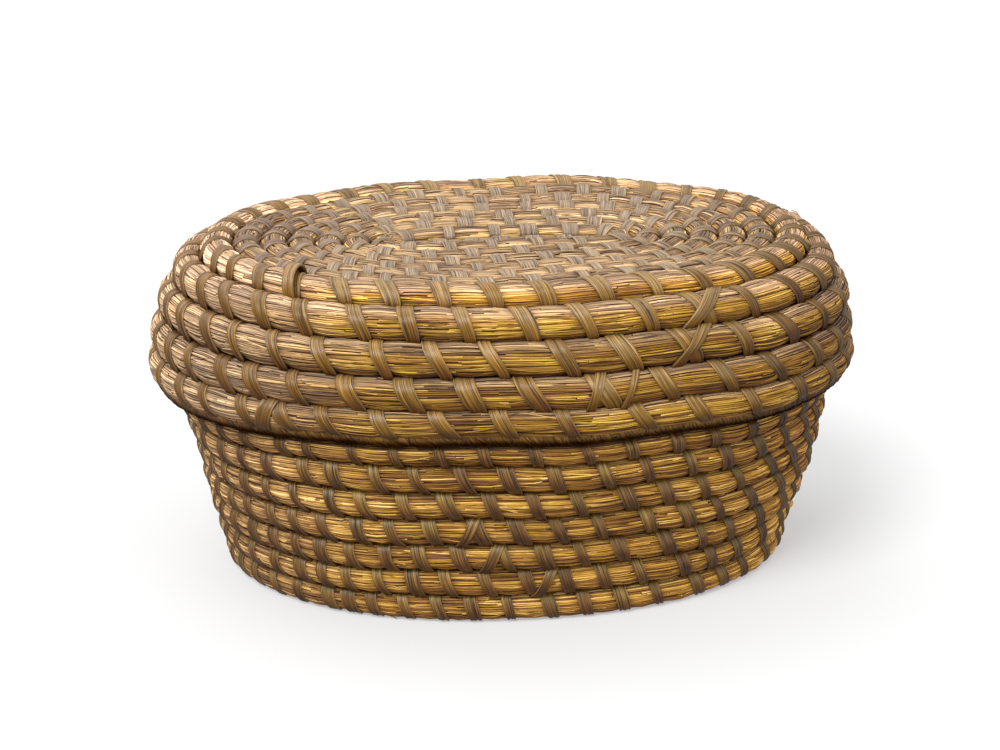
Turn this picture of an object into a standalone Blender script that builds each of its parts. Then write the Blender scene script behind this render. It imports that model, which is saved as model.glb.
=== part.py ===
"""Oval storage basket sewn from straw coils, closed by a lift-off lid of the same work.

Metres, +Z up. The origin is the middle of the underside, +X runs along the length and
-Y is the front. A coiled basket grows row by row round a short straight core, so each
row is an oval one coil further out, or one coil higher, than the row before it.
"""

import math
from collections import namedtuple

import bpy

# Coils. A coil's radius is a little under half its pitch, which leaves room for the sewing.
COIL_PITCH = 0.0185
COIL_RADIUS = 0.0096
FLAT_COIL_PITCH = 0.0169
FLAT_COIL_RADIUS = 0.0083
POINTS_PER_ROW = 28
SIDES_PER_COIL = 8
FLAT_TO_CORNER = math.cos(math.pi / SIDES_PER_COIL)

# The oval. Power 1 gives an ellipse, and a low power gives straight sides with round ends.
STRAIGHT_POWER = 0.15
OUTER_POWER = 0.7

# Basket body: a flat base, a wall that leans out and a neck that the lid drops over.
BASE_CORE_HALF = 0.049
BASE_ROWS = 6
BODY_FOOT_DEPTH = 0.121
WALL_ROWS = 7
WALL_LEAN = math.radians(13)
NECK_ROWS = 2
NECK_DEPTH = 0.134
NECK_DRAW_IN = 0.0015

# Lid: a gently sunken top, a rounded shoulder and an upright side ending in a thin cord.
LID_CORE_HALF = 0.0564
LID_TOP_ROWS = 6
LID_SINK = 0.0036
LID_CREST_DEPTH = 0.1194
LID_CREST_HEIGHT = 0.1979
LID_CREST_RADIUS = 0.0090
LID_SIDE_PITCH = 0.01945
LID_SIDE_RADIUS = 0.0095
LID_SIDE_LEANS = [math.radians(angle) for angle in (58.7, 29.3, 18.0)]
LID_RIM_STEP = (0.0021, 0.0167)
LID_RIM_RADIUS = 0.0079
LID_CORD_STEP = (0.0013, 0.0103)
LID_CORD_RADIUS = 0.0025

# The straight core of each flat part, wound with a strip of split bark.
CORE_RADIUS = 0.0065
CORE_OVERHANG = 0.0060
CORE_TAPER = 0.0050
CORE_TIP_SCALE = 0.55
STRIP_WIDTH = 0.0085
STRIP_THICKNESS = 0.0009
STRIP_RADIUS = 0.0076
STRIP_TURNS = 5
STRIP_STEPS = 12

STRAW_COLOUR = (0.42, 0.27, 0.10, 1.0)
LID_STRAW_COLOUR = (0.38, 0.25, 0.11, 1.0)
STRIP_COLOUR = (0.16, 0.10, 0.06, 1.0)

Row = namedtuple("Row", "name depth height radius core_half power")


def clear_scene():
    for obj in list(bpy.data.objects):
        bpy.data.objects.remove(obj, do_unlink=True)


def new_collection(name):
    collection = bpy.data.collections.new(name)
    bpy.context.scene.collection.children.link(collection)
    return collection


def new_material(name, colour, roughness):
    material = bpy.data.materials.new(name)
    material.use_nodes = True
    shader = material.node_tree.nodes["Principled BSDF"]
    shader.inputs["Base Color"].default_value = colour
    shader.inputs["Roughness"].default_value = roughness
    shader.inputs["Metallic"].default_value = 0.0
    return material


def new_empty(name, height, collection):
    empty = bpy.data.objects.new(name, None)
    empty.location = (0.0, 0.0, height)
    collection.objects.link(empty)
    return empty


def flat_power(depth, outer_depth):
    """A row's oval power: straight sided beside the core, rounder with each row outwards."""
    return STRAIGHT_POWER + (OUTER_POWER - STRAIGHT_POWER) * depth / outer_depth


def oval_point(row, angle):
    """The point of the row's centre line at this angle, with the row's height left out."""
    cosine = math.cos(angle)
    carried = row.core_half * math.copysign(abs(cosine) ** row.power, cosine)
    return row.depth * cosine + carried, row.depth * math.sin(angle)


def base_rows():
    """Rows laid flat round the base core, standing on their lower faces."""
    height = FLAT_COIL_RADIUS * FLAT_TO_CORNER
    for number in range(1, BASE_ROWS + 1):
        depth = FLAT_COIL_PITCH * number
        power = flat_power(depth, BODY_FOOT_DEPTH)
        yield Row(f"base_coil_{number}", depth, height, FLAT_COIL_RADIUS, BASE_CORE_HALF, power)


def wall_rows():
    """Rows stacked from the ground up, each set out from the one below by the lean."""
    for number in range(1, WALL_ROWS + 1):
        rise = COIL_PITCH * (number - 1)
        depth = BODY_FOOT_DEPTH + rise * math.sin(WALL_LEAN)
        height = COIL_RADIUS * FLAT_TO_CORNER + rise * math.cos(WALL_LEAN)
        yield Row(f"wall_coil_{number}", depth, height, COIL_RADIUS, BASE_CORE_HALF, OUTER_POWER)


def neck_rows(shoulder):
    """Rows drawn in above the shoulder row, so that the lid's side can pass outside them."""
    below = shoulder
    for number in range(1, NECK_ROWS + 1):
        depth = NECK_DEPTH - NECK_DRAW_IN * (number - 1)
        height = below.height + math.sqrt(COIL_PITCH**2 - (below.depth - depth) ** 2)
        below = Row(f"neck_coil_{number}", depth, height, COIL_RADIUS, BASE_CORE_HALF, OUTER_POWER)
        yield below


def lid_top_rows():
    """Rows laid flat round the lid's core, sinking slightly from the crest to the middle."""
    for number in range(1, LID_TOP_ROWS + 1):
        depth = FLAT_COIL_PITCH * number
        power = flat_power(depth, LID_CREST_DEPTH)
        yield Row(
            f"lid_top_coil_{number}", depth, lid_top_height(depth), FLAT_COIL_RADIUS,
            LID_CORE_HALF, power,
        )


def lid_top_height(depth):
    return LID_CREST_HEIGHT - LID_SINK * (1.0 - (depth / LID_CREST_DEPTH) ** 2)


def lid_side_rows():
    """The crest row, then each row down the shoulder and side, then the rim and its cord."""
    depth, height = LID_CREST_DEPTH, LID_CREST_HEIGHT
    rows = [("lid_crest_coil", depth, height, LID_CREST_RADIUS)]
    number = len(LID_SIDE_LEANS) + 1
    for lean in LID_SIDE_LEANS:
        depth += LID_SIDE_PITCH * math.sin(lean)
        height -= LID_SIDE_PITCH * math.cos(lean)
        rows.append((f"lid_side_coil_{number}", depth, height, LID_SIDE_RADIUS))
        number -= 1
    depth += LID_RIM_STEP[0]
    height -= LID_RIM_STEP[1]
    rows.append(("lid_rim_coil", depth, height, LID_RIM_RADIUS))
    depth += LID_CORD_STEP[0]
    height -= LID_CORD_STEP[1]
    rows.append(("lid_edge_cord", depth, height, LID_CORD_RADIUS))
    for name, row_depth, row_height, radius in rows:
        yield Row(name, row_depth, row_height, radius, LID_CORE_HALF, OUTER_POWER)


def new_coil_curve(name, radius, point_count, closed):
    """A polyline with a round section that has flat faces at its top, bottom and sides."""
    curve = bpy.data.curves.new(name, "CURVE")
    curve.dimensions = "3D"
    curve.twist_mode = "Z_UP"
    curve.bevel_depth = radius
    curve.bevel_resolution = SIDES_PER_COIL // 2 - 2
    curve.use_fill_caps = not closed
    spline = curve.splines.new("POLY")
    spline.points.add(point_count - 1)
    spline.use_cyclic_u = closed
    for point in spline.points:
        point.tilt = math.pi / SIDES_PER_COIL
    return curve, spline


def place(name, data, height, material, parent, collection):
    """The object of one sub-part, at this height above the underside."""
    data.materials.append(material)
    obj = bpy.data.objects.new(name, data)
    obj.parent = parent
    obj.location = (0.0, 0.0, height - parent.location.z)
    collection.objects.link(obj)
    return obj


def make_row(row, material, parent, collection):
    """One turn of the coil, closed on itself."""
    curve, spline = new_coil_curve(row.name, row.radius, POINTS_PER_ROW, closed=True)
    for index, point in enumerate(spline.points):
        x, y = oval_point(row, 2.0 * math.pi * index / POINTS_PER_ROW)
        point.co = (x, y, 0.0, 1.0)
    return place(row.name, curve, row.height, material, parent, collection)


def make_core(name, core_half, height, material, parent, collection):
    """The straight bundle that the first row turns round, drawn in at both ends."""
    tip = core_half + CORE_OVERHANG
    full = core_half - CORE_TAPER
    stations = [(-tip, CORE_TIP_SCALE), (-full, 1.0), (full, 1.0), (tip, CORE_TIP_SCALE)]
    curve, spline = new_coil_curve(name, CORE_RADIUS, len(stations), closed=False)
    for point, (x, scale) in zip(spline.points, stations):
        point.co = (x, 0.0, 0.0, 1.0)
        point.radius = scale
    return place(name, curve, height, material, parent, collection)


def make_core_strip(name, core_half, height, material, parent, collection):
    """A flat strip wound round a core: a short edge screwed along X, then given thickness."""
    start = CORE_TAPER - core_half
    pitch = (-2.0 * start - STRIP_WIDTH) / STRIP_TURNS
    mesh = bpy.data.meshes.new(name)
    ends = [(start, 0.0, STRIP_RADIUS), (start + STRIP_WIDTH, 0.0, STRIP_RADIUS)]
    mesh.from_pydata(ends, [(0, 1)], [])
    strip = place(name, mesh, height, material, parent, collection)

    screw = strip.modifiers.new("winding", "SCREW")
    screw.axis = "X"
    screw.angle = 2.0 * math.pi
    screw.screw_offset = pitch
    screw.iterations = STRIP_TURNS
    screw.steps = STRIP_STEPS
    screw.render_steps = STRIP_STEPS
    screw.use_smooth_shade = True

    solidify = strip.modifiers.new("strip_thickness", "SOLIDIFY")
    solidify.thickness = STRIP_THICKNESS
    solidify.offset = 0.0
    return strip


def build_basket(straw, strip, collection):
    parent = new_empty("basket_frame", 0.0, collection)
    core_height = STRIP_RADIUS + STRIP_THICKNESS
    make_core("base_start_core", BASE_CORE_HALF, core_height, straw, parent, collection)
    make_core_strip("base_start_strip", BASE_CORE_HALF, core_height, strip, parent, collection)
    wall = list(wall_rows())
    for row in [*base_rows(), *wall, *neck_rows(wall[-1])]:
        make_row(row, straw, parent, collection)


def build_lid(straw, strip, collection):
    rows = [*lid_top_rows(), *lid_side_rows()]
    parent = new_empty("lid_frame", rows[-1].height, collection)
    core_height = lid_top_height(0.0)
    make_core("lid_start_core", LID_CORE_HALF, core_height, straw, parent, collection)
    make_core_strip("lid_start_strip", LID_CORE_HALF, core_height, strip, parent, collection)
    for row in rows:
        material = strip if row.name == "lid_edge_cord" else straw
        make_row(row, material, parent, collection)


def main():
    clear_scene()
    collection = new_collection("oval_coiled_basket")
    straw = new_material("straw", STRAW_COLOUR, 0.62)
    lid_straw = new_material("lid_straw", LID_STRAW_COLOUR, 0.66)
    strip = new_material("bark_strip", STRIP_COLOUR, 0.5)
    build_basket(straw, strip, collection)
    build_lid(lid_straw, strip, collection)


main()
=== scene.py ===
"""Looks of the oval straw basket: every coil row as a bundle of single stalks, sewn with bark strips.

Each row of the frame is replaced by a straw piece, which is many thin stalks laid round a dark
filling, and gains a strip piece, one flat band of bark that winds round the row from its first
stitch to its last. Some rows also carry odd strip ends that cross their stitches. All follow the
row's oval. Lengths are in metres, and angles round a coil's section run from 0 on the outer side
through a quarter turn at the top.
"""

import math
from collections import namedtuple
from itertools import pairwise

import bpy
import numpy as np
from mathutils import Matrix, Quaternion, Vector


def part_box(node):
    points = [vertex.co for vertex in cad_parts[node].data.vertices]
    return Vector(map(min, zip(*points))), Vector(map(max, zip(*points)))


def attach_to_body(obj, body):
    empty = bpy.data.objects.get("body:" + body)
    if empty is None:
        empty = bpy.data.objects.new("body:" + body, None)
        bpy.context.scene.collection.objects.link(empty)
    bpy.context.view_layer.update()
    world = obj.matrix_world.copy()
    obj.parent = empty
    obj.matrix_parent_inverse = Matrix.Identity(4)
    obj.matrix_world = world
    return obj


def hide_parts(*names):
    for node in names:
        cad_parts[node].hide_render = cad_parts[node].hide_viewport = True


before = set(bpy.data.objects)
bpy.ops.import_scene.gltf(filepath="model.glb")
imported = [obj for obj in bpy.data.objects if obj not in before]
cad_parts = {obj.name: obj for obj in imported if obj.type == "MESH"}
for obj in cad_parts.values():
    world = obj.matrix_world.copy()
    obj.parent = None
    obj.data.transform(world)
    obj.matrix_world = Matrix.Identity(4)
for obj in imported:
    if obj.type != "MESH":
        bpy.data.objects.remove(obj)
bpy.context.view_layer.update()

OUTWARD, UP, INWARD, DOWN = 0.0, math.pi / 2, math.pi, -math.pi / 2
TURN = 2.0 * math.pi

# Ovals, as in the frame: straight sided beside the core and rounder with each row outwards.
STRAIGHT_POWER = 0.15
OUTER_POWER = 0.7
OVAL_POINTS = 7200
PATH_STEP = 0.001

# How the basket is out of true. The lid's lower edge hangs down at the ends, its rear right edge
# is raised, both ends bulge, and the foot is turned a little against the lid.
LEFT_SAG = 0.0065
RIGHT_SAG = 0.0025
SAG_HEIGHT = 0.125
NO_SAG_HEIGHT = 0.2
FOOT_TURN = math.radians(2.4)
REAR_RISE = 0.0042
END_BULGE = 0.0028
BELLY_HEIGHT = 0.06
FIRM_HEIGHT = 0.03

# Bundles. A row swells between its stitches and is drawn in under them, most at the oval's ends.
PLUMPNESS = 0.535
SWELL = 0.015
END_SWELL = 0.035
PINCH = 0.055
END_PINCH = 0.085
PINCH_REACH = 0.0055
# How far the painted shade beside a strip reaches.
SHADE_REACH = 0.0015
CLEARANCE_RADIUS = 0.0079
UNDERSIDE_HEIGHT = 0.0012
LID_GAP = 0.003
CORD_GAP = 0.0026
CORE_TIP_SCALE = 0.6
CORE_TAPER = 0.011

# The lid's edge cord, with its close strip. The strip's outline is taller than the cord is.
CORD_UNDER_STRIP = 0.0024
CORD_REACH_UP = 0.0034

# Stalks. They lie in lanes round the bundle, several stalks one after another in each lane.
STALK_WIDTH = 0.00112
STALK_STEP = 0.0052
STALK_SIDES = 4
STALK_LENGTHS = (0.04, 0.15)
STRAY_LENGTHS = (0.02, 0.07)
SHORTEST_STALK = 0.012
STALK_GAPS = (0.0001, 0.0008)
LANE_START = (-0.08, 0.0)
STRAY_SHARE = 0.26
STRAY_SCALE = 0.75
STALK_DRIFT = 0.7
STRAY_DRIFT = 2.4
STALK_WANDER = 0.25
STALK_THICKNESSES = (0.62, 1.18)
STALK_TIP_SCALE = 0.72
STALK_TONE = 0.54
STALK_TONE_SPREAD = 0.17
LOOSE_END_SHARE = 0.06
FILLING_DEPTH = 0.72 * STALK_WIDTH
# Darker than the stalks: painted shade deep between them.
FILLING_TONE = 0.38
FILLING_SIDES = 16
FILLING_STEP = 0.006
HIDDEN_ANGLE = 0.36
GROOVE_SPREAD = 0.56

# Sewing strips. The outer half of each turn slants and the inner half carries the rest.
STRIP_THICKNESS = 0.0013
STRIP_ACROSS = np.array([-1.0, -0.94, -0.78, -0.6, -0.4, -0.2, 0.0, 0.2, 0.4, 0.6, 0.78, 0.94, 1.0])
STRIP_UNDER = np.array([0.96, 0.0, -0.96])
STRIP_EMBED = 0.0005
STATIONS_OUTSIDE = 18
STATIONS_INSIDE = 10
SLANT_CURVE = 1.3
START_BROADENING = 0.12
FOOT_NARROWING = 0.46
FOOT_STANDOFF = 0.0030
FLAT_STANDOFF = 0.001
FOOT_SPREAD = 0.56
CROSSING_LIFT = 0.0009
CROSSING_STATIONS = 22

# Stitches. They vary in width and slant, chain from row to row, and are closer round the ends.
Stitching = namedtuple("Stitching", "pitch width slant seed")
BODY_STITCHING = Stitching(pitch=0.0256, width=0.0074, slant=0.0058, seed=100)
LID_STITCHING = Stitching(pitch=0.0305, width=0.0088, slant=0.0112, seed=208)
FLAT_STITCHING = Stitching(pitch=0.0275, width=0.0086, slant=0.0040, seed=300)
CORD_STITCHING = Stitching(pitch=0.0125, width=0.0105, slant=0.0085, seed=7)
FLAT_ROW_ADVANCE = -0.45
FLAT_ROW_PITCH = 0.0169
WIDTH_SPREAD = 0.26
SLANT_SPREAD = 0.25
FIRST_ROW_DRIFT = 0.05
NEXT_ROW_DRIFT = 0.015
CHAINING = 0.75
NEXT_ROW_OVERLAP = 0.1
NEXT_ROW_STEP = 0.001
END_NARROWING = 0.24
END_CROWDING = 0.42
CORE_TURNS = 6
CORE_STRIP_WIDTH = 0.0088

# Where newly fed straw shows its pale cut ends, as a place along the row.
FRESH_ENDS = {"lid_side_coil_3": 0.158, "wall_coil_7": 0.152}
FRESH_REACH = 0.012
FRESH_PALENESS = 0.45

# Strip ends that cross the regular stitches, as (place along the row, slant, width, height stood off).
CROSSINGS = {
    "lid_crest_coil": [(-0.128, 0.012, 0.0085, 0.0042)],
    "lid_side_coil_4": [(0.112, -0.036, 0.0085, 0.0)],
    "lid_side_coil_3": [(0.104, -0.030, 0.0070, 0.0)],
    "lid_side_coil_2": [(0.0675, -0.013, 0.0045, 0.0), (0.048, -0.010, 0.0065, 0.0)],
    "lid_rim_coil": [(-0.143, -0.008, 0.0110, 0.0)],
    "wall_coil_4": [(-0.030, -0.018, 0.0065, 0.0)],
    "wall_coil_3": [(-0.018, -0.016, 0.0070, 0.0)],
    "wall_coil_2": [(0.012, -0.017, 0.0065, 0.0)],
}

# Seeds of the random draws. Each row of a part adds its number in the part.
BODY_SEED = 1000
LID_TOP_SEED = 2000
LID_SIDE_SEED = 2007

# Stage. The camera was fitted to the photograph's outline of the basket.
FLOOR_HALF = 6.0
FLOOR_DROP = 0.0003
FLOOR_COLOUR = (0.42, 0.42, 0.42)
FLOOR_GLOW = 0.38
SKY_STOPS = [(0.0, (0.3,) * 3), (0.45, (0.5,) * 3), (0.75, (0.8,) * 3), (1.0, (1.0,) * 3)]
SENSOR_WIDTH = 36.0
LENS = 2.2517 * SENSOR_WIDTH
CAMERA_SHIFT = (-0.0047, 0.0394)
CAMERA_TARGET = (0.0, 0.0, 0.084)
CAMERA_DISTANCE = 1.434
CAMERA_ELEVATION = math.radians(20.32)
CAMERA_AZIMUTH = math.radians(1.5)
CAMERA_ROLL = math.radians(-0.74)


# ---- paths and rows


def interpolated(where, along, pairs):
    """The pairs of numbers at these places, from the pairs that are known along the path."""
    return np.stack([np.interp(where, along, column) for column in pairs.T], -1)


class Path:
    """A level centre line measured by length. A closed one starts at the front and runs to +X."""

    def __init__(self, points, height, closed):
        self.height = height
        self.closed = closed
        if closed:
            points = np.vstack([points, points[:1]])
        steps = np.linalg.norm(np.diff(points, axis=0), axis=1)
        measured = np.concatenate([[0.0], np.cumsum(steps)])
        self.length = measured[-1]
        self.along = np.linspace(0.0, self.length, int(self.length / PATH_STEP) + 2)
        self.points = interpolated(self.along, measured, points)
        self.normals = self._normals()

    def _normals(self):
        if not self.closed:
            return np.tile([0.0, -1.0], (len(self.points), 1))
        ring = self.points[:-1]
        run = np.roll(ring, -3, 0) - np.roll(ring, 3, 0)
        run /= np.linalg.norm(run, axis=1, keepdims=True)
        normals = np.stack([run[:, 1], -run[:, 0]], 1)
        return np.vstack([normals, normals[:1]])

    def at(self, along):
        """Points and outward normals of the centre line at these lengths."""
        where = np.mod(along, self.length) if self.closed else np.clip(along, 0.0, self.length)
        point = interpolated(where, self.along, self.points)
        normal = interpolated(where, self.along, self.normals)
        return point, normal / np.linalg.norm(normal, axis=-1, keepdims=True)

    def place(self, along, angle, radius):
        """3-D points at these lengths, angles round the section and distances from its centre."""
        point, normal = self.at(along)
        flat = point + normal * (radius * np.cos(angle))[..., None]
        height = self.height + radius * np.sin(angle)
        return hand_warp(np.concatenate([flat, height[..., None]], -1))

    def turning(self, along):
        """0 along the straight sides of the oval and 1 round its ends."""
        if not self.closed:
            return np.zeros(np.shape(along))
        return np.abs(self.at(along)[1][..., 0]) ** 1.5


def smooth_step(value, low, high):
    share = np.clip((value - low) / (high - low), 0.0, 1.0)
    return share * share * (3.0 - 2.0 * share)


def wrapped(value, period=TURN):
    """The value brought within half a period of zero."""
    return np.mod(value + period / 2, period) - period / 2


def bell(distance, reach, power=2):
    """1 at no distance, falling to nothing a little beyond the reach."""
    return np.exp(-((distance / reach) ** power))


def halves_of(phase):
    """How much of the outer half and of the inner half of its turn a strip has done."""
    return np.clip(phase * 2.0, 0.0, 1.0), np.clip(phase * 2.0 - 1.0, 0.0, 1.0)


def hand_warp(points):
    """Moves points as the maker's hand did: slow waves, sagging and bulging ends, a turned foot."""
    x, y, z = points[..., 0], points[..., 1], points[..., 2]
    move_x = 0.0011 * np.sin(31 * y + 22 * z + 0.4) + 0.0007 * np.sin(57 * z - 40 * y + 2.0)
    move_y = 0.0011 * np.sin(27 * x + 19 * z + 1.3) + 0.0007 * np.sin(63 * x - 35 * z)
    move_z = 0.0008 * np.sin(24 * x + 0.6) + 0.0006 * np.sin(49 * x + 33 * y + 1.7)

    sag = LEFT_SAG * smooth_step(-x, 0.09, 0.21) + RIGHT_SAG * smooth_step(x, 0.11, 0.21)
    from_top = np.clip((NO_SAG_HEIGHT - z) / (NO_SAG_HEIGHT - SAG_HEIGHT), 0.0, 1.0)
    move_z = move_z - sag * np.minimum(z / SAG_HEIGHT, from_top)
    rear_right = smooth_step(x, 0.10, 0.19) * smooth_step(y, -0.02, 0.08)
    move_z = move_z + REAR_RISE * rear_right * smooth_step(z, 0.15, 0.19)

    at_lid_edge = bell(z - SAG_HEIGHT, 0.024)
    move_x = move_x - END_BULGE * smooth_step(-x, 0.12, 0.21) * at_lid_edge
    at_belly = bell(z - BELLY_HEIGHT, 0.03)
    at_shoulder = smooth_step(z, 0.15, 0.18)
    move_x = move_x + END_BULGE * smooth_step(x, 0.08, 0.17) * (at_belly + at_shoulder)

    off_ground = np.clip(z / FIRM_HEIGHT, 0.0, 1.0)
    shift = np.stack([move_x, move_y, move_z], -1) * off_ground[..., None]
    foot_turn = FOOT_TURN * smooth_step(z, 0.115, 0.05)
    shift[..., 0] -= y * foot_turn
    shift[..., 1] += x * foot_turn
    return points + shift


class Bundle:
    """A run of straw with the flats where it is pressed and the strip that draws it in."""

    def __init__(self, path, radius):
        self.path = path
        self.radius = radius
        self.joints = []
        self.clearances = []
        self.painted_shade_angles = []
        self.stitches = None
        self.fresh_at = None
        self.first_angle = UP
        self.foot_angle = DOWN
        self.foot_standoff = 0.0

    def section(self, angle):
        """Radius of the bundle at this angle: round, pressed flat where it meets something."""
        radius = np.full(np.shape(angle), self.radius)
        for direction, reach in self.joints + self.clearances:
            facing = np.maximum(np.cos(angle - direction), 0.05)
            radius = np.minimum(radius, reach / facing)
        return radius

    def phase_at(self, angle):
        """How far round its turn a strip is at this angle: 0 to 0.5 outside, then on to 1 inside."""
        outside = (self.first_angle - self.foot_angle) % TURN
        swept = np.mod(self.first_angle - angle, TURN)
        seen = swept / outside / 2
        unseen = 0.5 + (swept - outside) / (TURN - outside) / 2
        return np.where(swept < outside, seen, unseen)

    def angle_at(self, phase):
        """The angle round the section at this phase of a strip's turn."""
        outside = (self.first_angle - self.foot_angle) % TURN
        seen, inward = halves_of(phase)
        return self.first_angle - seen * outside - inward * (TURN - outside)

    def facing(self, angle):
        """1 where the section faces up, -1 where it faces down."""
        return np.sin(angle)

    def surface(self, along, angle, closeness):
        """Radius of the straw's outside, where closeness is 1 under a strip and 0 far from one."""
        turning = self.path.turning(along)
        swell = SWELL + END_SWELL * turning
        pinch = (PINCH + END_PINCH * turning) * closeness
        return self.section(angle) * (1.0 + swell - pinch)

    def groove(self, angle):
        """1 at joints with neighbouring rows and at the angles listed for painted shade, fading out to
        either side. The materials paint shade there.
        """
        depth = np.zeros(np.shape(angle))
        for direction in [joint[0] for joint in self.joints] + self.painted_shade_angles:
            depth = np.maximum(depth, bell(wrapped(angle - direction), GROOVE_SPREAD, 4))
        return depth

    def hidden(self, angle):
        """True where a stalk at this angle would lie inside a joint, out of sight."""
        return any(abs(wrapped(angle - joint[0])) < HIDDEN_ANGLE for joint in self.joints)


class Row(Bundle):
    """One coil row of the frame."""

    def __init__(self, node, outer_depth=None):
        low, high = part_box(node)
        self.node = node
        radius = (high.z - low.z) / 2
        self.depth = (high.y - low.y) / 2 - radius
        core_half = (high.x - low.x) / 2 - radius - self.depth
        self.height = (high.z + low.z) / 2
        share = 1.0 if outer_depth is None else self.depth / outer_depth
        power = STRAIGHT_POWER + (OUTER_POWER - STRAIGHT_POWER) * share
        angle = np.linspace(-math.pi / 2, 1.5 * math.pi, OVAL_POINTS, endpoint=False)
        cosine = np.cos(angle)
        carried = core_half * np.sign(cosine) * np.abs(cosine) ** power
        oval = np.stack([self.depth * cosine + carried, self.depth * np.sin(angle)], 1)
        super().__init__(Path(oval, self.height, closed=True), radius)
        self.fresh_at = FRESH_ENDS.get(node)

    def towards(self, other):
        """Angle and distance from this row's section centre to another's."""
        out = other.depth - self.depth
        up = other.height - self.height
        return math.atan2(up, out), math.hypot(out, up)


class Core(Bundle):
    """The straight bundle that the first row turns round, drawn in towards both ends."""

    def __init__(self, node):
        low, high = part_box(node)
        self.node = node
        line = np.array([[-high.x, 0.0], [high.x, 0.0]])
        super().__init__(Path(line, (low.z + high.z) / 2, closed=False), (high.z - low.z) / 2)

    def surface(self, along, angle, closeness):
        to_end = np.minimum(along, self.path.length - along)
        scale = CORE_TIP_SCALE + (1.0 - CORE_TIP_SCALE) * smooth_step(to_end, 0.0, CORE_TAPER)
        return super().surface(along, angle, closeness) * scale


class EdgeCord(Row):
    """The thin cord under the lid's rim. Its strip also reaches up over the rim's lower face."""

    def section(self, angle):
        upward = np.maximum(np.sin(angle), 0.0)
        return CORD_UNDER_STRIP + CORD_REACH_UP * upward**0.8

    def facing(self, angle):
        return 0.3 * np.sin(angle) - 0.2

    # The cord's lower half, in the gap under the lid's rim, gets painted shade as a groove does.
    def groove(self, angle):
        return smooth_step(-np.sin(angle), -0.45, 0.15)


def facing_flats(row, other, gap=0.0):
    """The flats, each a direction and a reach, that leave this gap between two pressed rows."""
    direction, distance = row.towards(other)
    share = row.radius / (row.radius + other.radius)
    room = distance - gap
    return (direction, room * share), (direction + math.pi, room * (1.0 - share))


# ---- stitches


class Stitches:
    """Where a row's strip lies: the length at which each turn starts, its slant and its width."""

    def __init__(self, row, count, stitching, rng, start_share=0.0, above=None):
        self.row = row
        self.count = count
        self.length = row.path.length
        self.width = stitching.width * rng.uniform(1.0 - WIDTH_SPREAD, 1.0 + WIDTH_SPREAD, count)
        self.slant = stitching.slant * rng.uniform(1.0 - SLANT_SPREAD, 1.0 + SLANT_SPREAD, count)
        even = self.crowded((np.arange(count) + start_share) / count)
        share = even + rng.normal(0.0, FIRST_ROW_DRIFT, count) / count
        if above is not None:
            chained = above.foot_shares()
            even += (chained - even).mean()
            share = CHAINING * chained + (1.0 - CHAINING) * even
            share += rng.normal(0.0, NEXT_ROW_DRIFT, count) / count
        self.start = share * self.length
        self.width *= 1.0 - END_NARROWING * row.path.turning(self.start)
        ends = np.concatenate([self.start[1:], self.start[:1] + self.length])
        self.pitch = ends - self.start

    def crowded(self, count_share):
        """Shares of the row's length for shares of its stitches, which are closer round the ends."""
        path = self.row.path
        crowd = np.cumsum(1.0 + END_CROWDING * path.turning(path.along))
        crowd = (crowd - crowd[0]) / (crowd[-1] - crowd[0])
        whole = np.floor(count_share)
        return whole + np.interp(count_share - whole, crowd, path.along / path.length)

    def foot_shares(self):
        """Where the next row's stitches begin: just past the foot of each of these."""
        across = self.width * (1.0 - NEXT_ROW_OVERLAP)
        return (self.start + self.slant + across + NEXT_ROW_STEP) / self.length

    def middle(self, turn, phase):
        """Length along the row of the middle of the strip, at this phase of this turn."""
        seen, inward = halves_of(phase)
        slanted = (0.5 - 0.5 * np.cos(math.pi * seen)) ** SLANT_CURVE
        carried = self.slant[turn] * slanted + (self.pitch[turn] - self.slant[turn]) * inward
        return self.start[turn] + carried + self.width[turn] / 2

    def gap(self, along, angle):
        """Distance from the strip's edge, or 0 under it."""
        phase = self.row.phase_at(angle)
        guess = np.mod(along - self.start[0], self.length)
        turn = np.clip(np.searchsorted(self.start - self.start[0], guess) - 1, 0, self.count - 1)
        gap = np.full(np.shape(along), self.length)
        for step in (-2, -1, 0, 1):
            near = np.mod(turn + step, self.count)
            apart = np.abs(wrapped(along - self.middle(near, phase), self.length))
            gap = np.minimum(gap, apart - self.width[near] * 0.42)
        return np.maximum(gap, 0.0)


def stitch_count(path, stitching):
    """How many stitches fit round a row with this pitch along its straight sides."""
    crowding = 1.0 + END_CROWDING * path.turning(path.along).mean()
    return round(path.length * crowding / stitching.pitch)


class Winding(Stitches):
    """An even winding from one end of a straight core to the other."""

    def __init__(self, core):
        self.row = core
        self.count = CORE_TURNS
        self.length = core.path.length
        self.width = np.full(CORE_TURNS, CORE_STRIP_WIDTH)
        self.pitch = (self.length - self.width) / CORE_TURNS
        self.slant = self.pitch / 2
        self.start = np.arange(CORE_TURNS) * self.pitch


# ---- mesh building


def link(name, data):
    obj = bpy.data.objects.new(name, data)
    bpy.context.scene.collection.objects.link(obj)
    return obj


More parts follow.
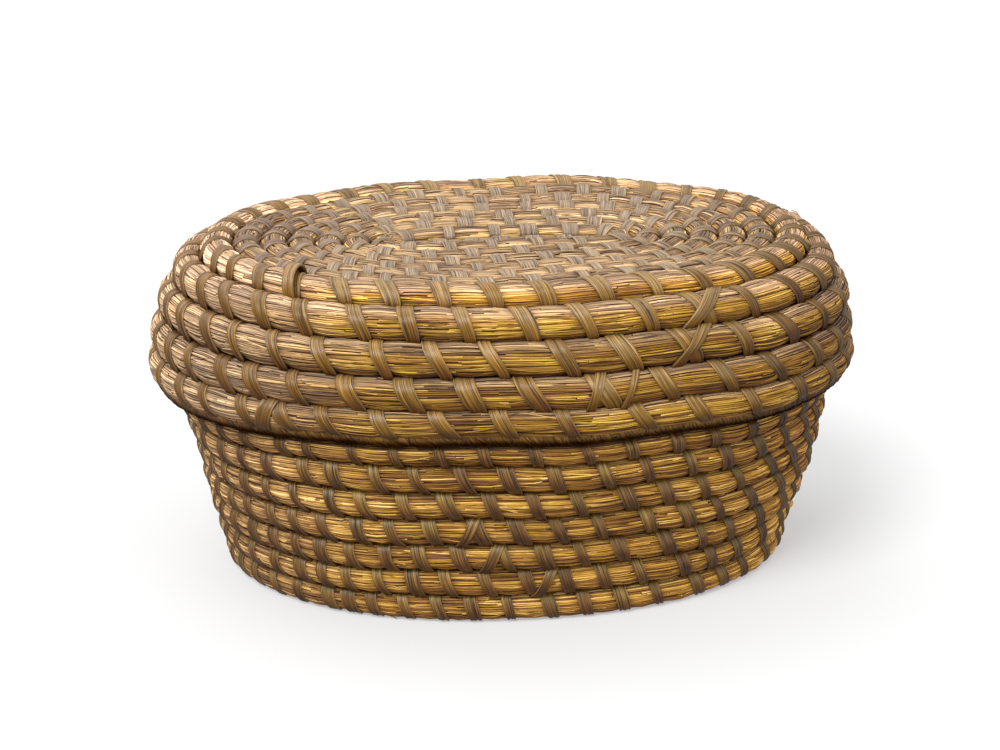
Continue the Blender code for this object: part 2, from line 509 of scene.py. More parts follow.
class Tubes:
    """Gathers tubes, each a run of rings of points, into one mesh."""

    def __init__(self):
        self.size = 0
        self.points = []
        self.quads = []
        self.quad_uvs = []
        self.caps = []
        self.cap_uvs = []
        self.values = {}

    def add(self, rings, counts, closed, u, v, values):
        """Adds tubes of so many rings each. v has one more column than a ring has points."""
        stations, sides = rings.shape[:2]
        last = np.cumsum(counts) - 1
        first = last - np.asarray(counts) + 1
        ahead = np.arange(1, stations + 1)
        ahead[last] = first
        here = np.arange(stations) if closed else np.setdiff1d(np.arange(stations), last)
        ahead = ahead[here]
        u_ahead = np.append(u[1:], 1.0)
        u_ahead = np.where(u_ahead < u, 1.0, u_ahead)
        side = np.arange(sides)
        beside = (side + 1) % sides
        corners = [(here, side), (here, beside), (ahead, beside), (ahead, side)]
        quads = np.stack([station[:, None] * sides + column for station, column in corners], -1)
        quads = quads.reshape(-1, 4)
        us = np.stack([u[here], u[here], u_ahead[here], u_ahead[here]], -1)
        us = np.repeat(us[:, None, :], sides, 1)
        vs = np.stack([v[here, :-1], v[here, 1:], v[here, 1:], v[here, :-1]], -1)
        uvs = np.stack([us, vs], -1).reshape(-1, 4, 2)

        flat = rings.reshape(-1, 3)
        halves = (quads[:, :3], quads[:, [0, 2, 3]])
        volume = sum(np.linalg.det(flat[half]).sum() for half in halves)
        flip = -1 if volume < 0 else 1
        self.quads.append(quads[:, ::flip] + self.size)
        self.quad_uvs.append(uvs[:, ::flip])
        if not closed:
            for ring, order in [(start, -flip) for start in first] + [(end, flip) for end in last]:
                self.caps.append(ring * sides + side[::order] + self.size)
                self.cap_uvs.append(np.stack([np.full(sides, u[ring]), v[ring, :-1][::order]], 1))
        self.points.append(flat)
        self.size += len(flat)
        for key, value in values.items():
            self.values.setdefault(key, []).append(value.reshape(len(flat), -1))

    def build(self, name, material):
        mesh = bpy.data.meshes.new(name)
        points = np.concatenate(self.points)
        quads = np.concatenate(self.quads)
        loops = np.concatenate([quads.ravel(), *self.caps]).astype(np.int32)
        sizes = np.array([4] * len(quads) + [len(cap) for cap in self.caps])
        mesh.vertices.add(len(points))
        mesh.vertices.foreach_set("co", points.astype(np.float32).ravel())
        mesh.loops.add(len(loops))
        mesh.loops.foreach_set("vertex_index", loops)
        starts = np.concatenate([[0], np.cumsum(sizes)[:-1]])
        mesh.polygons.add(len(sizes))
        mesh.polygons.foreach_set("loop_start", starts.astype(np.int32))
        mesh.update(calc_edges=True)
        mesh.shade_smooth()
        for key, parts in self.values.items():
            value = np.concatenate(parts).astype(np.float32)
            kind, field = ("FLOAT_VECTOR", "vector") if value.shape[1] == 3 else ("FLOAT", "value")
            mesh.attributes.new(key, kind, "POINT").data.foreach_set(field, value.ravel())
        uvs = np.concatenate([np.concatenate(self.quad_uvs).reshape(-1, 2), *self.cap_uvs])
        layer = mesh.uv_layers.new(name="OFBake")
        layer.uv.foreach_set("vector", uvs.astype(np.float32).ravel())
        mesh.materials.append(material)
        return link(name, mesh)


def smooth_noise(rng, along, wavelength):
    """A smooth random number between -1 and 1 for each length along a path."""
    where = (along - along.min()) / wavelength
    knots = rng.uniform(-1.0, 1.0, int(where.max()) + 3)
    index = where.astype(int)
    blend = smooth_step(where, index, index + 1)
    return knots[index] * (1.0 - blend) + knots[index + 1] * blend


# ---- straw


def chain(path, lengths, rng):
    """Starts and ends of stalks laid one after another from one end of the path to the other."""
    start = rng.uniform(*LANE_START) if path.closed else 0.0
    stop = start + path.length
    while start < stop - SHORTEST_STALK:
        end = min(start + rng.uniform(*lengths), stop)
        yield start, end
        start = end + rng.uniform(*STALK_GAPS)


def lay_stalks(bundle, lanes, strays, rng):
    """Every station of every stalk, as arrays, and how many stations each stalk has."""
    stalks = []
    for slot in range(lanes + strays):
        stray = slot >= lanes
        for start, end in chain(bundle.path, STRAY_LENGTHS if stray else STALK_LENGTHS, rng):
            lane = rng.uniform(0, lanes) if stray else slot
            if bundle.hidden(lane * TURN / lanes):
                continue
            count = max(4, int((end - start) / STALK_STEP) + 2)
            share = np.linspace(0.0, 1.0, count)
            along = start + (end - start) * share
            drift = rng.normal(0.0, STRAY_DRIFT if stray else STALK_DRIFT)
            wander = lane + drift * (share - 0.5) + STALK_WANDER * smooth_noise(rng, along, 0.03)
            lift = rng.normal(0.0, 0.00016) + 0.00015 * smooth_noise(rng, along, 0.018)
            if stray:
                lift = lift + 0.00035 - 0.0008 * (2.0 * share - 1.0) ** 8
                if rng.random() < LOOSE_END_SHARE:
                    lift = lift + rng.uniform(0.001, 0.003) * share**6
            thickness = STALK_WIDTH / 2 * rng.uniform(*STALK_THICKNESSES)
            thickness *= STRAY_SCALE if stray else 1.0
            from_end = np.minimum(share, 1.0 - share) * (count - 1)
            tone = np.full(count, np.clip(rng.normal(STALK_TONE, STALK_TONE_SPREAD), 0.02, 0.98))
            if bundle.fresh_at is not None:
                near = bell(along - bundle.fresh_at, FRESH_REACH)
                tone = tone + FRESH_PALENESS * near * rng.random()
            stalks.append({
                "along": along,
                "angle": wander * TURN / lanes,
                "lift": lift,
                "half": thickness * np.clip(STALK_TIP_SCALE + from_end, 0.0, 1.0),
                "tone": tone,
                "id": np.full(count, rng.uniform(0.0, 60.0)),
                "slot": np.full(count, slot),
                "tip": np.clip(1.0 - from_end * 2.0, 0.0, 1.0),
            })
    stations = {key: np.concatenate([stalk[key] for stalk in stalks]) for key in stalks[0]}
    return stations, [len(stalk["along"]) for stalk in stalks]


def widened(values, sides):
    """One value for each station, repeated for every point of its ring."""
    return np.repeat(values[:, None], sides, 1)


def make_straw(name, bundle, rng, material):
    """All stalks of one bundle in one mesh, over a dark filling."""
    path = bundle.path
    lanes = max(12, round(TURN * bundle.radius / STALK_WIDTH))
    strays = round(lanes * STRAY_SHARE)
    stalk, counts = lay_stalks(bundle, lanes, strays, rng)
    along, angle, half = stalk["along"], stalk["angle"], stalk["half"]
    gap = bundle.stitches.gap(along, angle)
    closeness = bell(gap, PINCH_REACH)
    top = bundle.surface(along, angle, closeness) + stalk["lift"] * (1.0 - 0.9 * closeness)
    centre = top - half * 0.9
    ring = np.arange(STALK_SIDES) * TURN / STALK_SIDES
    rings = np.tile(ring, (len(along), 1))
    radius = centre[:, None] + half[:, None] * 0.9 * np.cos(ring)
    half_angle = half[:, None] * 1.25 / np.maximum(centre, 0.002)[:, None]
    around = angle[:, None] + half_angle * np.sin(ring)
    lengths = widened(along, STALK_SIDES)

    columns = np.arange(STALK_SIDES + 1) / STALK_SIDES * 0.9
    v = (stalk["slot"][:, None] + columns) / (lanes + strays) * 0.96
    u = np.mod(along, path.length) / path.length if path.closed else along / path.length
    values = {
        "tone": widened(stalk["tone"], STALK_SIDES),
        "tip": widened(stalk["tip"], STALK_SIDES),
        "crest": 0.5 + 0.5 * np.cos(rings),
        "rise": bundle.facing(around),
        "groove": bundle.groove(around),
        "shade": widened(bell(gap, SHADE_REACH), STALK_SIDES),
        "grain": np.stack([lengths, rings, widened(stalk["id"], STALK_SIDES)], -1),
    }
    mesh = Tubes()
    mesh.add(path.place(lengths, around, radius), counts, False, u, v, values)
    add_filling(mesh, bundle)
    return mesh.build(name, material)


def add_filling(mesh, bundle):
    """The inside of a bundle, which shows between its stalks and closes the joints of rows. Its darker
    tone and half of the stalks' relief shade are painted shade deep between the stalks.
    """
    path = bundle.path
    sides = FILLING_SIDES
    stations = max(16, int(path.length / FILLING_STEP))
    along = np.linspace(0.0, path.length, stations, endpoint=not path.closed)
    angle = np.arange(sides) * TURN / sides
    lengths, angles = np.meshgrid(along, angle, indexing="ij")
    closeness = bell(bundle.stitches.gap(lengths, angles), PINCH_REACH)
    groove = bundle.groove(angles)
    radius = bundle.surface(lengths, angles, closeness * (1.0 - groove))
    radius = radius - FILLING_DEPTH * (1.0 - groove)
    u = along / path.length
    v = np.broadcast_to(0.965 + 0.03 * np.arange(sides + 1) / sides, (stations, sides + 1))
    values = {
        "tone": np.full(lengths.shape, FILLING_TONE),
        "tip": np.zeros(lengths.shape),
        "crest": np.full(lengths.shape, 0.5),
        "rise": bundle.facing(angles),
        "groove": groove,
        "shade": closeness,
        "grain": np.stack([lengths, angles * 12.0, np.zeros(lengths.shape)], -1),
    }
    rings = path.place(lengths, angles, radius)
    mesh.add(rings, [stations], path.closed, u, v, values)


# ---- strips


def strip_heights(rng, turn):
    """Upper face of the strip above its underside, across the strip, for each station."""
    count = turn.max() + 1
    across = STRIP_ACROSS[None, :]
    convex = rng.uniform(0.0, 1.0, (count, 1))
    ridges = rng.integers(2, 5, (count, 1))
    shift = rng.uniform(0.0, TURN, (count, 1))
    split = rng.uniform(0.0, 1.0, (count, 1)) ** 2
    place = rng.uniform(-0.4, 0.4, (count, 1))
    height = 0.66 + 0.32 * convex * (1.0 - across**2) + 0.26 * (1.0 - convex) * across**8
    height = height + 0.15 * np.cos(math.pi * ridges * across + shift)
    height = height - 0.55 * split * bell(across - place, 0.13)
    height = height * np.clip((1.0 - np.abs(across)) / 0.05, 0.45, 1.0)
    return height[turn]


def add_band(mesh, bundle, along, angle, width, lift, turn, phase, slots, closed, rng):
    """One flat band over the bundle's straw through these lengths and angles."""
    path = bundle.path
    stations = len(along)
    if closed:
        run_along = wrapped(np.roll(along, -1) - np.roll(along, 1), path.length)
        run_angle = wrapped(np.roll(angle, -1) - np.roll(angle, 1))
    else:
        run_along = np.gradient(along)
        run_angle = np.gradient(np.unwrap(angle))
    run_around = run_angle * bundle.radius
    size = np.hypot(run_along, run_around)
    heights = strip_heights(rng, turn)
    ripple = 1.0 + 0.10 * smooth_noise(rng, np.arange(stations) * 0.01, 0.03)
    across = np.concatenate([STRIP_ACROSS, STRIP_UNDER])
    offset = across[None, :] * width[:, None] / 2
    under = np.full((stations, len(STRIP_UNDER)), -STRIP_EMBED)
    rise = np.concatenate([STRIP_THICKNESS * heights * ripple[:, None], under], 1)
    lengths = along[:, None] - offset * (run_around / size)[:, None]
    angles = angle[:, None] + offset * (run_along / size)[:, None] / bundle.radius
    radius = bundle.surface(lengths, angles, 1.0) + rise + lift[:, None]
    near_foot = bell(wrapped(angles - bundle.foot_angle), FOOT_SPREAD)
    radius = radius + bundle.foot_standoff * near_foot

    sides = len(across)
    v = (turn[:, None] + 0.95 * np.arange(sides + 1) / sides) / slots
    tones = np.clip(rng.normal(0.5, 0.22, slots), 0.0, 1.0)
    ids = rng.uniform(0.0, 60.0, slots)
    values = {
        "tone": widened(tones[turn], sides),
        "crest": np.concatenate([heights, np.zeros_like(under)], 1),
        "edge": np.tile(np.abs(across) ** 6, (stations, 1)),
        "rise": bundle.facing(angles),
        "groove": bundle.groove(angles),
        "grain": np.stack([widened(np.arange(stations) * 0.002, sides), offset,
                           widened(ids[turn], sides)], -1),
    }
    rings = path.place(lengths, angles, radius)
    mesh.add(rings, [stations], closed, phase, v, values)


def make_strip(name, bundle, rng, material):
    """The strip wound round one bundle from its first stitch to its last."""
    stitches = bundle.stitches
    count = stitches.count
    outside = np.linspace(0.0, 0.5, STATIONS_OUTSIDE, endpoint=False)
    inside = np.linspace(0.5, 1.0, STATIONS_INSIDE, endpoint=False)
    turn = np.repeat(np.arange(count), STATIONS_OUTSIDE + STATIONS_INSIDE)
    phase = np.tile(np.concatenate([outside, inside]), count)
    seen, inward = halves_of(phase)
    width = stitches.width[turn] * (1.0 - inward) + np.roll(stitches.width, -1)[turn] * inward
    width = width * (1.0 + START_BROADENING - FOOT_NARROWING * seen**2 * (1.0 - inward))
    along = stitches.middle(turn, phase)
    angle = bundle.angle_at(phase)
    lift = np.zeros(len(phase))
    mesh = Tubes()
    add_band(mesh, bundle, along, angle, width, lift, turn, phase, count, bundle.path.closed, rng)
    return mesh.build(name, material)


def make_crossings(name, row, crossings, rng, material):
    """The odd strip ends that cross one row's stitches."""
    mesh = Tubes()
    share = np.linspace(0.0, 1.0, CROSSING_STATIONS)
    for number, (place, slant, width, standing) in enumerate(crossings):
        along = place + slant * (share - 0.5)
        angle = row.angle_at(share * 0.52)
        widths = width * (1.0 - 0.3 * share)
        lift = CROSSING_LIFT + row.radius * END_PINCH * row.path.turning(along)
        lift = lift + standing * np.sin(math.pi * share) ** 1.5
        turn = np.full(len(share), number)
        phase = share * 0.98
        add_band(mesh, row, along, angle, widths, lift, turn, phase, len(crossings), False, rng)
    return mesh.build(name, material)


# ---- materials

StrawLook = namedtuple("StrawLook", "tint dusty dust left_dust right_stain")
StripLook = namedtuple("StripLook", "top middle foot")

# Straw from its darkest stalks to its palest, and how it differs on each part of the basket.
STRAW_TONES = [
    (0.00, (0.040, 0.014, 0.004)), (0.26, (0.13, 0.055, 0.014)), (0.48, (0.28, 0.145, 0.028)),
    (0.68, (0.45, 0.275, 0.052)), (0.86, (0.64, 0.450, 0.120)), (1.00, (0.84, 0.680, 0.340)),
]
# Each look has a tint, dust with painted sheen on top, painted sheen on the left end and painted shading
# at the right end.
STRAW_LOOKS = {
    "straw": StrawLook(
        tint=(1.30, 1.09, 0.66), dusty=(0.42, 0.28, 0.11), dust=0.7,
        left_dust=0.42, right_stain=(1.24, 1.18, 1.20)),
    "lid_straw": StrawLook(
        tint=(1.06, 0.89, 0.38), dusty=(0.43, 0.295, 0.185), dust=1.0,
        left_dust=0.9, right_stain=(0.88, 0.84, 0.92)),
    "lid_top_straw": StrawLook(
        tint=(0.95, 0.84, 0.50), dusty=(0.31, 0.215, 0.14), dust=1.0,
        left_dust=0.0, right_stain=(1.0, 1.0, 1.0)),
}
STRIP_LOOKS = {
    "bark_strip": StripLook((0.225, 0.148, 0.032), (0.160, 0.080, 0.016), (0.100, 0.037, 0.009)),
    "lid_bark_strip": StripLook((0.265, 0.170, 0.066), (0.215, 0.112, 0.010), (0.140, 0.057, 0.009)),
    "lid_top_bark_strip": StripLook((0.290, 0.215, 0.150), (0.200, 0.140, 0.090), (0.100, 0.055, 0.030)),
}

# Colours that lie over these. Each multiplies or covers the colour under it; many are painted light and
# shade, as marked.
# Painted sheen on the straw of the left end.
LEFT_PAINTED_SHEEN = (0.78, 0.55, 0.36)
# How much the dust and painted sheen cover the straw.
DUST_AND_SHEEN_COVER = 0.70
# Painted shade where the straw faces down.
UNDERSIDE_PAINTED_SHADE = (0.80, 0.62, 0.45)
# Painted light on the lid's highest rows where they face outward.
CREST_PAINTED_LIGHT = (1.75, 1.80, 2.08)
# Painted shade on the straw beside the strips, which stand proud of it.
BESIDE_STRIP_PAINTED_SHADE = (0.42, 0.34, 0.28)
# Painted shade in the grooves between rows and in the gap under the lid's rim.
GROOVE_PAINTED_SHADE = (0.22, 0.15, 0.11)
LEFT_STRIP_STAIN = (0.77, 0.70, 0.80)
# Painted shade on the strips at the right end.
RIGHT_STRIP_PAINTED_SHADE = (0.56, 0.50, 0.40)
STRIP_EDGE = (0.44, 0.30, 0.12)
STRIP_EDGE_COVER = 0.22
# Painted shade on the sides and undersides of the stalks, darkest between them.
STALK_RELIEF_PAINTED_SHADE = [(0.0, (0.12, 0.07, 0.04)), (0.4, (0.50, 0.40, 0.30)), (0.8, (1.0, 1.0, 1.0))]
# Painted shade in the strips' low ridges and underside, and painted highlight on their high ridges.
STRIP_RELIEF_PAINTED_SHADING = [(0.0, (0.30, 0.24, 0.18)), (0.45, (0.82, 0.80, 0.77)), (1.0, (1.12, 1.12, 1.12))]
STRIP_FIBRES = [
    (0.37, (0.13, 0.09, 0.06)), (0.45, (0.80, 0.76, 0.70)),
    (0.56, (1.08, 1.04, 0.96)), (0.66, (2.10, 1.95, 1.50)),
]
BUMP_HEIGHT = 0.0005


def new_material(name):
    material = bpy.data.materials.new(name)
    material.use_nodes = True
    return material, material.node_tree, material.node_tree.nodes["Principled BSDF"]


def add(tree, kind, inputs=None, **settings):
    """A new node with these settings, and with these values or links at its inputs."""
    node = tree.nodes.new(kind)
    for key, value in settings.items():
        setattr(node, key, value)
    fill_in(tree, node, inputs or {})
    return node


def fill_in(tree, node, inputs):
    for key, value in inputs.items():
        plug(tree, node.inputs[key], value)


def plug(tree, socket, value):
    if isinstance(value, bpy.types.NodeSocket):
        tree.links.new(value, socket)
    elif isinstance(value, tuple) and len(value) == 3 and socket.type == "RGBA":
        socket.default_value = (*value, 1.0)
    else:
        socket.default_value = value


def attribute(tree, name, output="Fac"):
    return add(tree, "ShaderNodeAttribute", attribute_name=name).outputs[output]


def position(tree, space="Object"):
    """The X, Y and Z of each point."""
    point = add(tree, "ShaderNodeTexCoord").outputs[space]
    return add(tree, "ShaderNodeSeparateXYZ", {0: point}).outputs


def math_node(tree, operation, *values, clamp=False):
    inputs = dict(enumerate(values))
    return add(tree, "ShaderNodeMath", inputs, operation=operation, use_clamp=clamp).outputs[0]


def total(tree, first, *others):
    for other in others:
        first = math_node(tree, "ADD", first, other)
    return first


def centred(tree, value, strength):
    """A value that varies round one half, made to vary round zero by this strength."""
    return math_node(tree, "MULTIPLY_ADD", value, strength, -0.5 * strength)


def span(tree, value, low, high):
    """0 where value is at low, 1 where it is at high, smooth between and held outside."""
    inputs = {"Value": value, "From Min": low, "From Max": high}
    return add(tree, "ShaderNodeMapRange", inputs, interpolation_type="SMOOTHSTEP").outputs[0]


def ramp(tree, factor, stops):
    node = add(tree, "ShaderNodeValToRGB", {"Fac": factor})
    elements = node.color_ramp.elements
    while len(elements) < len(stops):
        elements.new(0.5)
    for element, (place, colour) in zip(elements, stops):
        element.position = place
        element.color = (*colour, 1.0)
    return node.outputs["Color"]


def mix(tree, factor, first, second, blend="MIX"):
    node = add(tree, "ShaderNodeMix", data_type="RGBA", blend_type=blend)
    sockets = [socket for socket in node.inputs if socket.enabled]
    for socket, value in zip(sockets, (factor, first, second)):
        plug(tree, socket, value)
    return next(socket for socket in node.outputs if socket.enabled)


def multiply_in(tree, colour, stain, share=1.0):
    """The colour multiplied by a stain, a tint or painted light and shade, in part where the share is
    below 1.
    """
    return mix(tree, share, colour, stain, "MULTIPLY")


def noise(tree, vector, scale, detail):
    inputs = {"Vector": vector, "Scale": scale, "Detail": detail}
    return add(tree, "ShaderNodeTexNoise", inputs).outputs["Fac"]


def grain_noise(tree, scale, detail):
    """Noise over (length along, place across, number of the stalk or turn), scaled for each."""
    inputs = {0: attribute(tree, "grain", "Vector"), 1: scale}
    stretched = add(tree, "ShaderNodeVectorMath", inputs, operation="MULTIPLY").outputs[0]
    return noise(tree, stretched, 1.0, detail)


def place_noise(tree, scale):
    """Noise over the whole basket, for patches of colour larger than a stalk."""
    return noise(tree, add(tree, "ShaderNodeTexCoord").outputs["Object"], scale, 2.0)


def finish_surface(tree, shader, colour, fibres, roughness, specular, relief):
    """Paints shade into the grooves between rows, then gives the shader its colour, gloss and relief."""
    bump_inputs = {"Strength": relief, "Distance": BUMP_HEIGHT, "Height": fibres}
    fill_in(tree, shader, {
        "Base Color": multiply_in(tree, colour, GROOVE_PAINTED_SHADE, attribute(tree, "groove")),
        "Roughness": roughness,
        "Specular IOR Level": specular,
        "Normal": add(tree, "ShaderNodeBump", bump_inputs).outputs["Normal"],
    })


def straw_tone(tree, fibres):
    """How pale the straw is: the stalk's own tone, streaks, fibres, patches and pale cut ends."""
    streaks = grain_noise(tree, (42.0, 1.3, 1.0), 3.0)
    own = total(tree, centred(tree, streaks, 1.5), attribute(tree, "tone"), centred(tree, fibres, 1.0))
    patches = centred(tree, place_noise(tree, 16.0), 0.7)
    return total(tree, own, patches, math_node(tree, "MULTIPLY", attribute(tree, "tip"), 0.3))


def dust_and_sheen_over(tree, colour, dust):
    """A pale cover of dust and painted sheen over the straw, paler on the paler stalks."""
    grey = add(tree, "ShaderNodeRGBToBW", {0: colour}).outputs[0]
    lightness = math_node(tree, "MULTIPLY_ADD", grey, 3.0, 0.25)
    return mix(tree, DUST_AND_SHEEN_COVER, colour, multiply_in(tree, dust, lightness))


def straw_material(name):
    """Dry straw: each stalk its own tone and streaked, with dust and painted sheen on top and painted
    shade underneath.
    """
    material, tree, shader = new_material(name)
    look = STRAW_LOOKS[name]
    fibres = grain_noise(tree, (90.0, 2.4, 1.0), 4.0)
    rise = attribute(tree, "rise")
    place = position(tree)
    plain = multiply_in(tree, ramp(tree, straw_tone(tree, fibres), STRAW_TONES), look.tint)
    # Dust with painted sheen where the straw faces up.
    on_top = math_node(tree, "MULTIPLY", span(tree, rise, 0.35, 1.0), look.dust)
    colour = mix(tree, on_top, plain, dust_and_sheen_over(tree, plain, look.dusty))
    # Painted sheen on the straw of the left end.
    at_left = math_node(tree, "MULTIPLY", span(tree, place["X"], -0.07, -0.18), look.left_dust)
    colour = mix(tree, at_left, colour, dust_and_sheen_over(tree, plain, LEFT_PAINTED_SHEEN))
    # Painted shade where the straw faces down.
    colour = multiply_in(tree, colour, UNDERSIDE_PAINTED_SHADE, span(tree, rise, -0.15, -0.85))
    # Painted light on the lid's highest rows where they face outward.
    on_crest = span(tree, rise, 1.02, 0.85)
    crest_lit = math_node(tree, "MULTIPLY", span(tree, place["Z"], 0.187, 0.203), on_crest)
    colour = multiply_in(tree, colour, CREST_PAINTED_LIGHT, crest_lit)
    # Painted shading at the right end: lighter on the body's straw, darker on the lid's.
    colour = multiply_in(tree, colour, look.right_stain, span(tree, place["X"], 0.12, 0.20))
    # Painted shade between the stalks.
    colour = multiply_in(tree, colour, ramp(tree, attribute(tree, "crest"), STALK_RELIEF_PAINTED_SHADE))
    # Painted shade on the straw beside the strips.
    colour = multiply_in(tree, colour, BESIDE_STRIP_PAINTED_SHADE, attribute(tree, "shade"))
    roughness = math_node(tree, "MULTIPLY_ADD", fibres, 0.30, 0.34)
    finish_surface(tree, shader, colour, fibres, roughness, specular=0.38, relief=0.4)
    return material


def strip_material(name):
    """Split bark: greyer where it faces up and browner at its foot, with long fine fibres."""
    material, tree, shader = new_material(name)
    look = STRIP_LOOKS[name]
    fibres = grain_noise(tree, (34.0, 2700.0, 1.0), 3.0)
    blotches = grain_noise(tree, (90.0, 260.0, 1.0), 2.0)
    place = position(tree)
    tone = centred(tree, attribute(tree, "tone"), 0.9)
    height = total(tree, attribute(tree, "rise"), tone, centred(tree, blotches, 1.2))
    colour = mix(tree, span(tree, height, 0.35, -0.75), look.middle, look.foot)
    colour = mix(tree, span(tree, height, 0.15, 0.95), colour, look.top)
    patches = centred(tree, place_noise(tree, 22.0), 1.3)
    at_left = math_node(tree, "ADD", span(tree, place["X"], -0.06, -0.18), patches, clamp=True)
    colour = multiply_in(tree, colour, LEFT_STRIP_STAIN, at_left)
    # Painted shade on the strips at the right end.
    colour = multiply_in(tree, colour, RIGHT_STRIP_PAINTED_SHADE, span(tree, place["X"], 0.09, 0.17))
    colour = multiply_in(tree, colour, ramp(tree, fibres, STRIP_FIBRES))
    # Painted shade and highlight over the strips' ridges.
    colour = multiply_in(tree, colour, ramp(tree, attribute(tree, "crest"), STRIP_RELIEF_PAINTED_SHADING))
    edge = span(tree, attribute(tree, "edge"), 0.35, 0.7)
    colour = mix(tree, math_node(tree, "MULTIPLY", edge, STRIP_EDGE_COVER), colour, STRIP_EDGE)
    roughness = math_node(tree, "MULTIPLY_ADD", fibres, 0.25, 0.22)
    # No gloss in the grooves, where painted shade lies, so that it stays dark.
    plain = math_node(tree, "MULTIPLY_ADD", attribute(tree, "groove"), -0.42, 0.42)
    finish_surface(tree, shader, colour, fibres, roughness, specular=plain, relief=0.55)
    return material


# ---- the basket

Rows = namedtuple("Rows", "base wall neck top side cord")


def lay_out_rows():
    """The rows of the body from the core outwards and up, and of the lid outwards and down."""
    foot_depth = Row("wall_coil_1").depth
    crest_depth = Row("lid_crest_coil").depth
    side_places = ("crest_coil", "side_coil_4", "side_coil_3", "side_coil_2", "rim_coil")
    rows = Rows(
        base=[Row(f"base_coil_{number}", foot_depth) for number in range(1, 7)],
        wall=[Row(f"wall_coil_{number}") for number in range(1, 8)],
        neck=[Row("neck_coil_1"), Row("neck_coil_2")],
        top=[Row(f"lid_top_coil_{number}", crest_depth) for number in range(1, 7)],
        side=[Row(f"lid_{place}") for place in side_places],
        cord=EdgeCord("lid_edge_cord"),
    )
    fill_out(rows.base + rows.wall + rows.neck)
    fill_out(rows.top + rows.side)
    return rows


def fill_out(rows):
    """Swells each row until it meets the rows beside it, and sews them together."""
    gaps = [first.towards(second)[1] for first, second in pairwise(rows)]
    for index, row in enumerate(rows):
        beside = gaps[max(0, index - 1):index + 1]
        row.radius = PLUMPNESS * sum(beside) / len(beside)
    for first, second in pairwise(rows):
        first_flat, second_flat = facing_flats(first, second)
        first.joints.append(first_flat)
        second.joints.append(second_flat)


def press_rows(rows):
    """Flattens the rows on the ground, beside the cores and where the lid passes the body."""
    base, wall, neck, top, side, cord = rows
    for row in base + wall[:1]:
        row.clearances.append((DOWN, row.height - UNDERSIDE_HEIGHT))
    for row in base[:1] + top[:1]:
        row.joints.append((INWARD, row.depth / 2))
    for row in neck:
        row.clearances.append((OUTWARD, CLEARANCE_RADIUS))
    for row in side[1:]:
        row.clearances.append((INWARD, CLEARANCE_RADIUS))
    shoulder, rim = wall[-1], side[-1]
    shoulder_flat, rim_flat = facing_flats(shoulder, rim, LID_GAP)
    shoulder.clearances.append(shoulder_flat)
    rim.clearances.append(rim_flat)
    direction, distance = rim.towards(cord)
    rim.clearances.append((direction, distance - cord.radius))
    direction, distance = shoulder.towards(cord)
    shoulder.clearances.append((direction, distance - cord.radius - CORD_GAP))
    # Painted shade on the shoulder row's top, under the lid's edge.
    shoulder.painted_shade_angles.append(direction)


def aim_strips(rows):
    """Sets where each row's strip comes out of the next row and goes in at the row before."""
    base, wall, neck, top, side, _ = rows
    for lower, upper in pairwise(wall + neck):
        lower.first_angle = lower.towards(upper)[0]
        upper.foot_angle = upper.towards(lower)[0]
    for inner, outer in pairwise(top + side):
        inner.foot_angle = inner.towards(outer)[0]
        outer.first_angle = outer.towards(inner)[0]
    top[0].first_angle = INWARD
    for row in base:
        row.first_angle, row.foot_angle = OUTWARD, INWARD
    for row in base + top:
        row.foot_standoff = FLAT_STANDOFF
    for row in wall[1:] + neck + side[:-1]:
        row.foot_standoff = FOOT_STANDOFF


def chain_stitches(rows, stitching, count, start_share):
    """Gives each row the same number of stitches, which follow on from those of the row above."""
    above = None
    for index, row in enumerate(rows):
        rng = np.random.default_rng(stitching.seed + index)
        above = row.stitches = Stitches(row, count, stitching, rng, start_share, above)


def place_stitches(rows, cores):
    """Sews every row. The body's rows all have the stitches that its fourth wall row has room for."""
    base, wall, neck, top, side, cord = rows
    body_count = stitch_count(wall[3].path, BODY_STITCHING)
    chain_stitches((wall + neck)[::-1], BODY_STITCHING, body_count, 0.2)
    chain_stitches(side, LID_STITCHING, stitch_count(side[0].path, LID_STITCHING), 0.3)
    for index, row in enumerate(base + top):
        rng = np.random.default_rng(FLAT_STITCHING.seed + index)
        advance = FLAT_ROW_ADVANCE * row.depth / FLAT_ROW_PITCH
        count = stitch_count(row.path, FLAT_STITCHING)
        row.stitches = Stitches(row, count, FLAT_STITCHING, rng, advance)
    rng = np.random.default_rng(CORD_STITCHING.seed)
    cord_count = round(cord.path.length / CORD_STITCHING.pitch)
    cord.stitches = Stitches(cord, cord_count, CORD_STITCHING, rng)
    for core in cores:
        core.stitches = Winding(core)


def attach(piece, body, slot, *nodes):
    """Puts a piece on its body and hides the frame's nodes that it replaces. Its material slot is not
    used.
    """
    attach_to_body(piece, body)
    if nodes:
        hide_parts(*nodes)


def make_row(row, body, straw, strip, rng):
    """The straw and the strip of one row, and its crossing strip ends if it has any."""
    straw_slot = "lid_straw" if body == "lid" else "straw"
    attach(make_straw(f"{row.node}_straw", row, rng, straw), body, straw_slot, row.node)
    strip_nodes = [row.node.replace("core", "strip")] if isinstance(row, Core) else []
    attach(make_strip(f"{row.node}_strip", row, rng, strip), body, "bark_strip", *strip_nodes)
    if row.node in CROSSINGS:
        name = f"{row.node}_crossed_strips"
        attach(make_crossings(name, row, CROSSINGS[row.node], rng, strip), body, "bark_strip")


# ---- stage


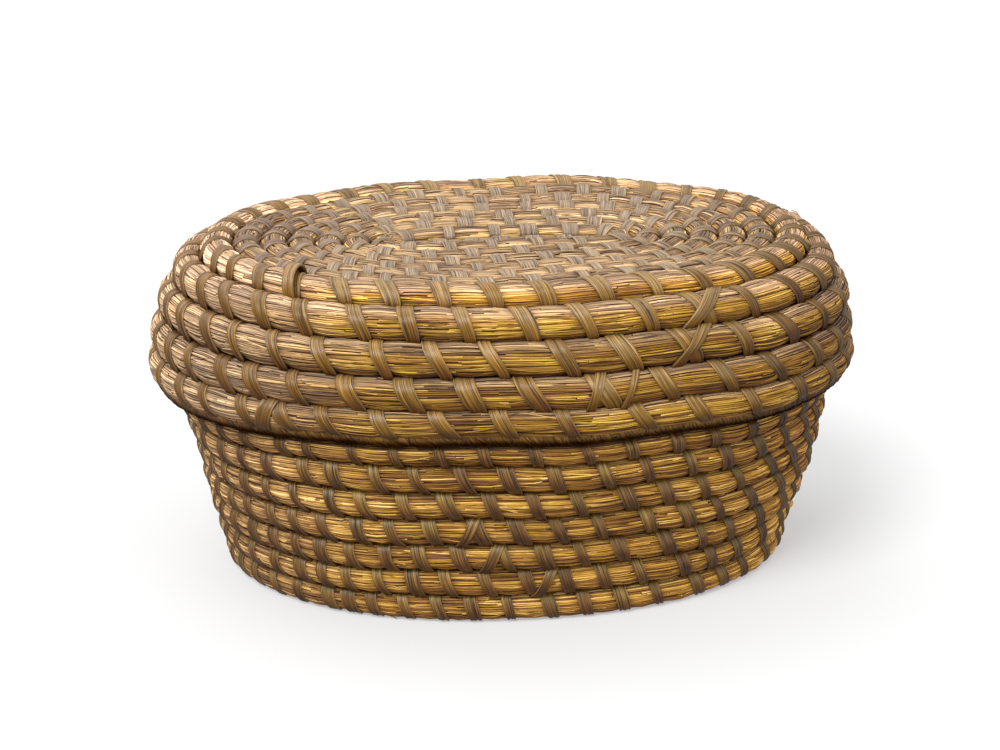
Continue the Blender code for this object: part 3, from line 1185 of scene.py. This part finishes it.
def add_floor():
    """A matt floor that glows a little, so that it runs into the backdrop without an edge."""
    half = FLOOR_HALF
    corners = [(-half, -half, 0), (half, -half, 0), (half, half, 0), (-half, half, 0)]
    mesh = bpy.data.meshes.new("floor")
    mesh.from_pydata(corners, [], [(0, 1, 2, 3)])
    floor = link("floor", mesh)
    floor.location.z = -FLOOR_DROP
    floor.visible_diffuse = False
    floor.visible_glossy = False
    material, tree, shader = new_material("floor")
    fill_in(tree, shader, {
        "Base Color": FLOOR_COLOUR, "Roughness": 0.9, "Specular IOR Level": 0.0,
        "Emission Color": (1.0, 1.0, 1.0), "Emission Strength": FLOOR_GLOW,
    })
    mesh.materials.append(material)


def add_backdrop():
    """White behind the basket. Its light on the basket is brighter from above."""
    world = bpy.data.worlds.new("studio")
    bpy.context.scene.world = world
    world.use_nodes = True
    tree = world.node_tree
    height = math_node(tree, "MULTIPLY_ADD", position(tree, "Generated")["Z"], 0.5, 0.5)
    sky = ramp(tree, height, SKY_STOPS)
    seen = add(tree, "ShaderNodeLightPath").outputs["Is Camera Ray"]
    plug(tree, tree.nodes["Background"].inputs["Color"], mix(tree, seen, sky, (1.0, 1.0, 1.0)))


def add_sun(name, towards, strength, softness):
    """A distant light seen in this direction, with this angular size in degrees."""
    light = bpy.data.lights.new(name, "SUN")
    light.energy = strength
    light.angle = math.radians(softness)
    lamp = link(name, light)
    lamp.rotation_mode = "QUATERNION"
    lamp.rotation_quaternion = Vector(towards).to_track_quat("Z", "Y")


def add_camera():
    """The photograph's camera, turned about the point that it aims at."""
    data = bpy.data.cameras.new("camera")
    data.sensor_width = SENSOR_WIDTH
    data.lens = LENS
    data.shift_x, data.shift_y = CAMERA_SHIFT
    camera = link("camera", data)
    level = math.cos(CAMERA_ELEVATION)
    back = Vector((-math.sin(CAMERA_AZIMUTH) * level, -math.cos(CAMERA_AZIMUTH) * level,
                   math.sin(CAMERA_ELEVATION)))
    camera.location = Vector(CAMERA_TARGET) + back * CAMERA_DISTANCE
    camera.rotation_mode = "QUATERNION"
    aim = (-back).to_track_quat("-Z", "Y")
    camera.rotation_quaternion = aim @ Quaternion((0, 0, 1), CAMERA_ROLL)
    bpy.context.scene.camera = camera


def main():
    rows = lay_out_rows()
    base_core, lid_core = Core("base_start_core"), Core("lid_start_core")
    press_rows(rows)
    aim_strips(rows)
    place_stitches(rows, (base_core, lid_core))
    basket = [base_core, *rows.base, *rows.wall, *rows.neck]
    parts = (
        (basket, "basket", "straw", "bark_strip", BODY_SEED),
        ([lid_core, *rows.top], "lid", "lid_top_straw", "lid_top_bark_strip", LID_TOP_SEED),
        ([*rows.side, rows.cord], "lid", "lid_straw", "lid_bark_strip", LID_SIDE_SEED),
    )
    for part, body, straw_name, strip_name, seed in parts:
        straw = straw_material(straw_name)
        strip = strip_material(strip_name)
        for index, row in enumerate(part):
            make_row(row, body, straw, strip, np.random.default_rng(seed + index))
    add_floor()
    add_backdrop()
    add_sun("key", towards=(-0.55, -0.90, 1.30), strength=2.5, softness=28)
    add_sun("back", towards=(-0.45, 0.55, 1.40), strength=0.7, softness=40)
    add_sun("fill", towards=(0.9, -0.8, 0.15), strength=0.65, softness=50)
    add_camera()
    bpy.context.scene.view_settings.view_transform = "Standard"


main()
